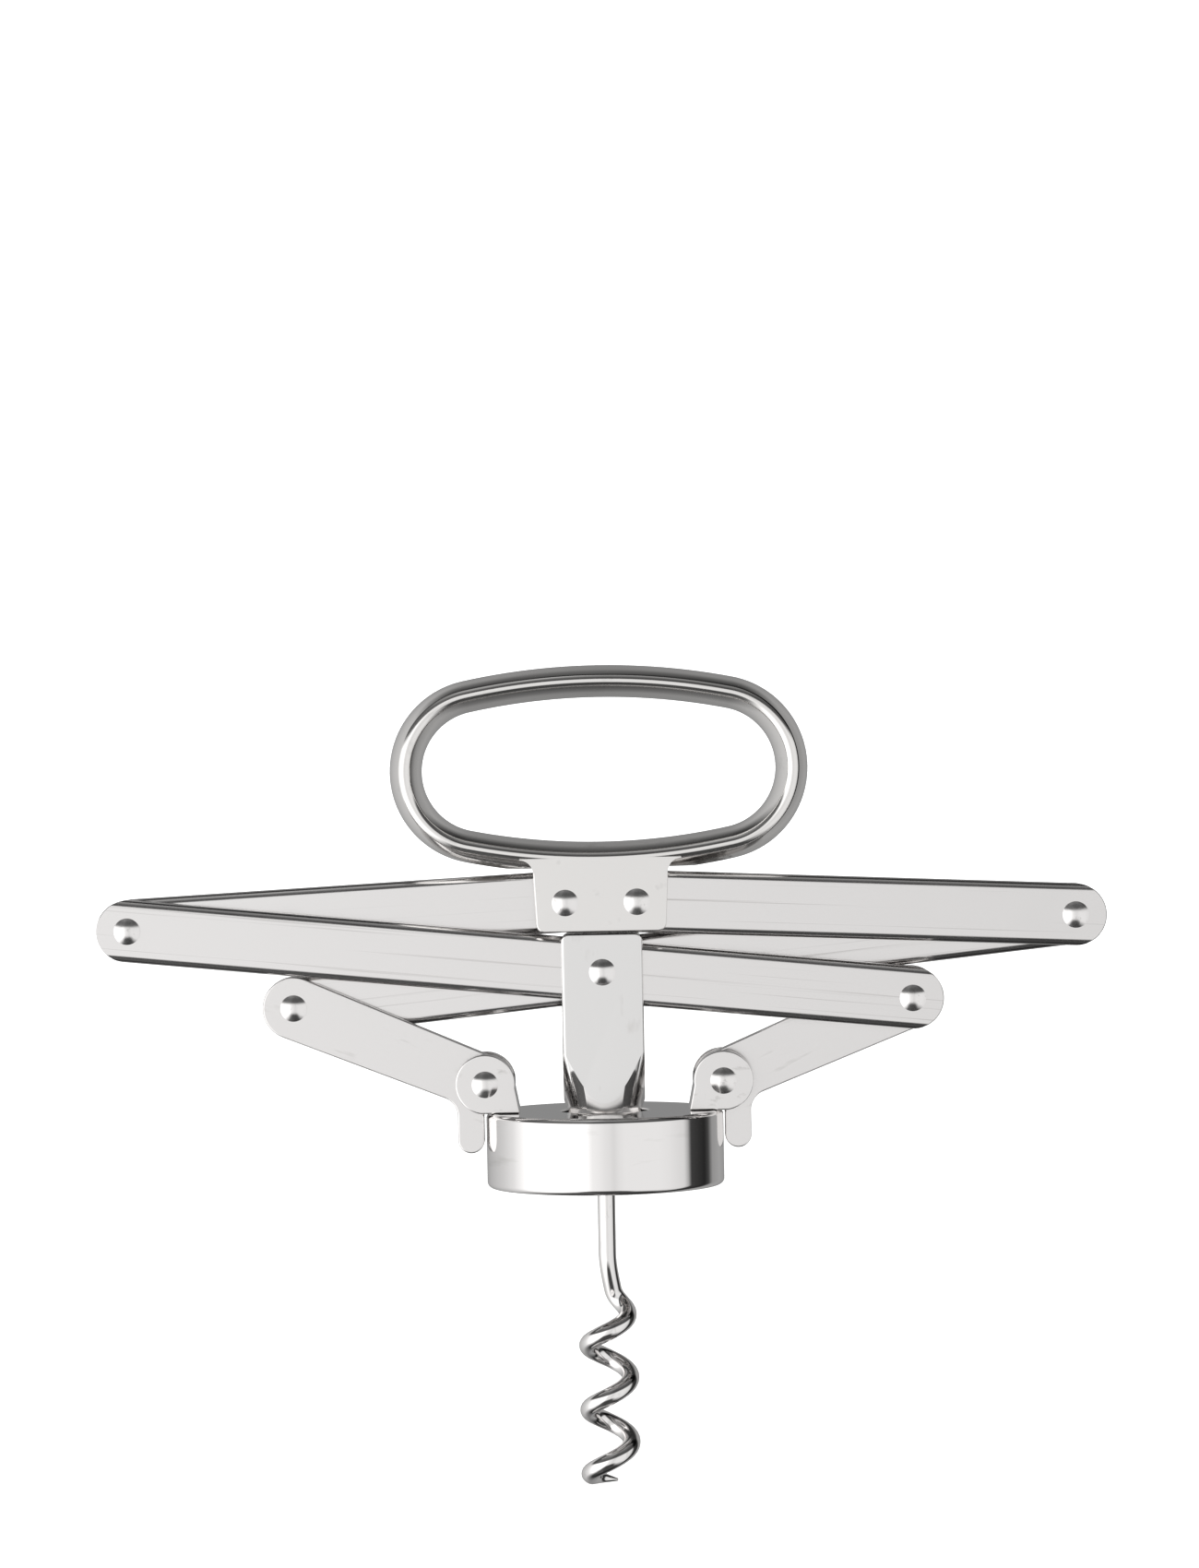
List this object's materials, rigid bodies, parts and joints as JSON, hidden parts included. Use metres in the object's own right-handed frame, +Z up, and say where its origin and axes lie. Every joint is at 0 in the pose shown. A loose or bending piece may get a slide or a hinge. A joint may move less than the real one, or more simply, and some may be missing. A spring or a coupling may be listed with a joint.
{
  "type": "lever corkscrew",
  "caption": "Concertina lever corkscrew: a pull loop opens a lazy-tongs linkage of pressed arms, which draws a wire worm up through a collar that sits on the bottle.",
  "frame": {"origin": "centre of the seat, the underside of the collar's top plate, on the bottle's axis", "axes": "+X along the folded arms, -Y to the front, +Z up out of the bottle"},
  "size_m": [0.1526, 0.036, 0.1247],
  "materials": {
    "plated_collar": "polished nickel plate",
    "plated_arms": "nickel plate with faint drawn lines",
    "plated_handle": "polished nickel plate",
    "plated_holder": "polished nickel plate",
    "rivet_steel": "polished, domed by the setting tool",
    "spacer_steel": "plain turned",
    "worm_wire": "plated drawn wire"
  },
  "bodies": {
    "collar": {"collar_cup": "plated_collar", "left_ear": "plated_collar", "right_ear": "plated_collar", "left_ear_rivet": "rivet_steel", "right_ear_rivet": "rivet_steel", "left_ear_spacer": "spacer_steel", "right_ear_spacer": "spacer_steel"},
    "left_link": {"left_link": "plated_arms", "lower_left_rivet": "rivet_steel"},
    "right_link": {"right_link": "plated_arms", "lower_right_rivet": "rivet_steel", "lower_right_spacer": "spacer_steel"},
    "rear_long_arm": {"rear_long_arm": "plated_arms", "right_end_rivet": "rivet_steel", "right_end_spacer": "spacer_steel"},
    "front_long_arm": {"front_long_arm": "plated_arms", "left_end_rivet": "rivet_steel", "left_end_spacer": "spacer_steel"},
    "upper_left_arm": {"upper_left_arm": "plated_arms"},
    "upper_right_arm": {"upper_right_arm": "plated_arms"},
    "worm_holder": {"worm_holder": "plated_holder", "worm": "worm_wire", "centre_rivet": "rivet_steel", "centre_spacers": "spacer_steel"},
    "handle": {"handle": "plated_handle", "left_handle_rivet": "rivet_steel", "right_handle_rivet": "rivet_steel", "left_handle_spacers": "spacer_steel", "right_handle_spacer": "spacer_steel"}
  },
  "joints": [
    {"name": "left_link_pivot", "type": "hinge", "parent": "collar", "child": "left_link", "pos_m": [-0.018, 0, 0.00625], "axis": [0, 1, 0], "range_deg": [0, 39.7]},
    {"name": "right_link_pivot", "type": "hinge", "parent": "collar", "child": "right_link", "pos_m": [0.018, 0, 0.00625], "axis": [0, 1, 0], "range_deg": [-39.7, 0]},
    {"name": "rear_arm_pivot", "type": "hinge", "parent": "left_link", "child": "rear_long_arm", "pos_m": [-0.0468, 0, 0.01818], "axis": [0, 1, 0], "range_deg": [-81.7, 0]},
    {"name": "front_arm_pivot", "type": "hinge", "parent": "right_link", "child": "front_long_arm", "pos_m": [0.0468, 0, 0.01818], "axis": [0, 1, 0], "range_deg": [0, 81.7]},
    {"name": "worm_holder_pivot", "type": "hinge", "parent": "rear_long_arm", "child": "worm_holder", "pos_m": [0, 0, 0.02297], "axis": [0, 1, 0], "range_deg": [0, 42]},
    {"name": "upper_right_pivot", "type": "hinge", "parent": "rear_long_arm", "child": "upper_right_arm", "pos_m": [0.0716, 0, 0.03031], "axis": [0, 1, 0], "range_deg": [0, 89.5]},
    {"name": "upper_left_pivot", "type": "hinge", "parent": "front_long_arm", "child": "upper_left_arm", "pos_m": [-0.0716, 0, 0.03031], "axis": [0, 1, 0], "range_deg": [-89.5, 0]},
    {"name": "handle_pivot", "type": "hinge", "parent": "upper_right_arm", "child": "handle", "pos_m": [0.0054, 0, 0.03349], "axis": [0, 1, 0], "range_deg": [-47.5, 0]}
  ],
  "couplings": [
    {"joint": "right_link_pivot", "follows": "left_link_pivot", "ratio": -1},
    {"joint": "rear_arm_pivot", "follows": "left_link_pivot", "ratio": -2.0571},
    {"joint": "front_arm_pivot", "follows": "left_link_pivot", "ratio": 2.0571},
    {"joint": "worm_holder_pivot", "follows": "left_link_pivot", "ratio": 1.0571},
    {"joint": "upper_right_pivot", "follows": "left_link_pivot", "ratio": 2.2526},
    {"joint": "upper_left_pivot", "follows": "left_link_pivot", "ratio": -2.2526},
    {"joint": "handle_pivot", "follows": "left_link_pivot", "ratio": -1.1956}
  ]
}
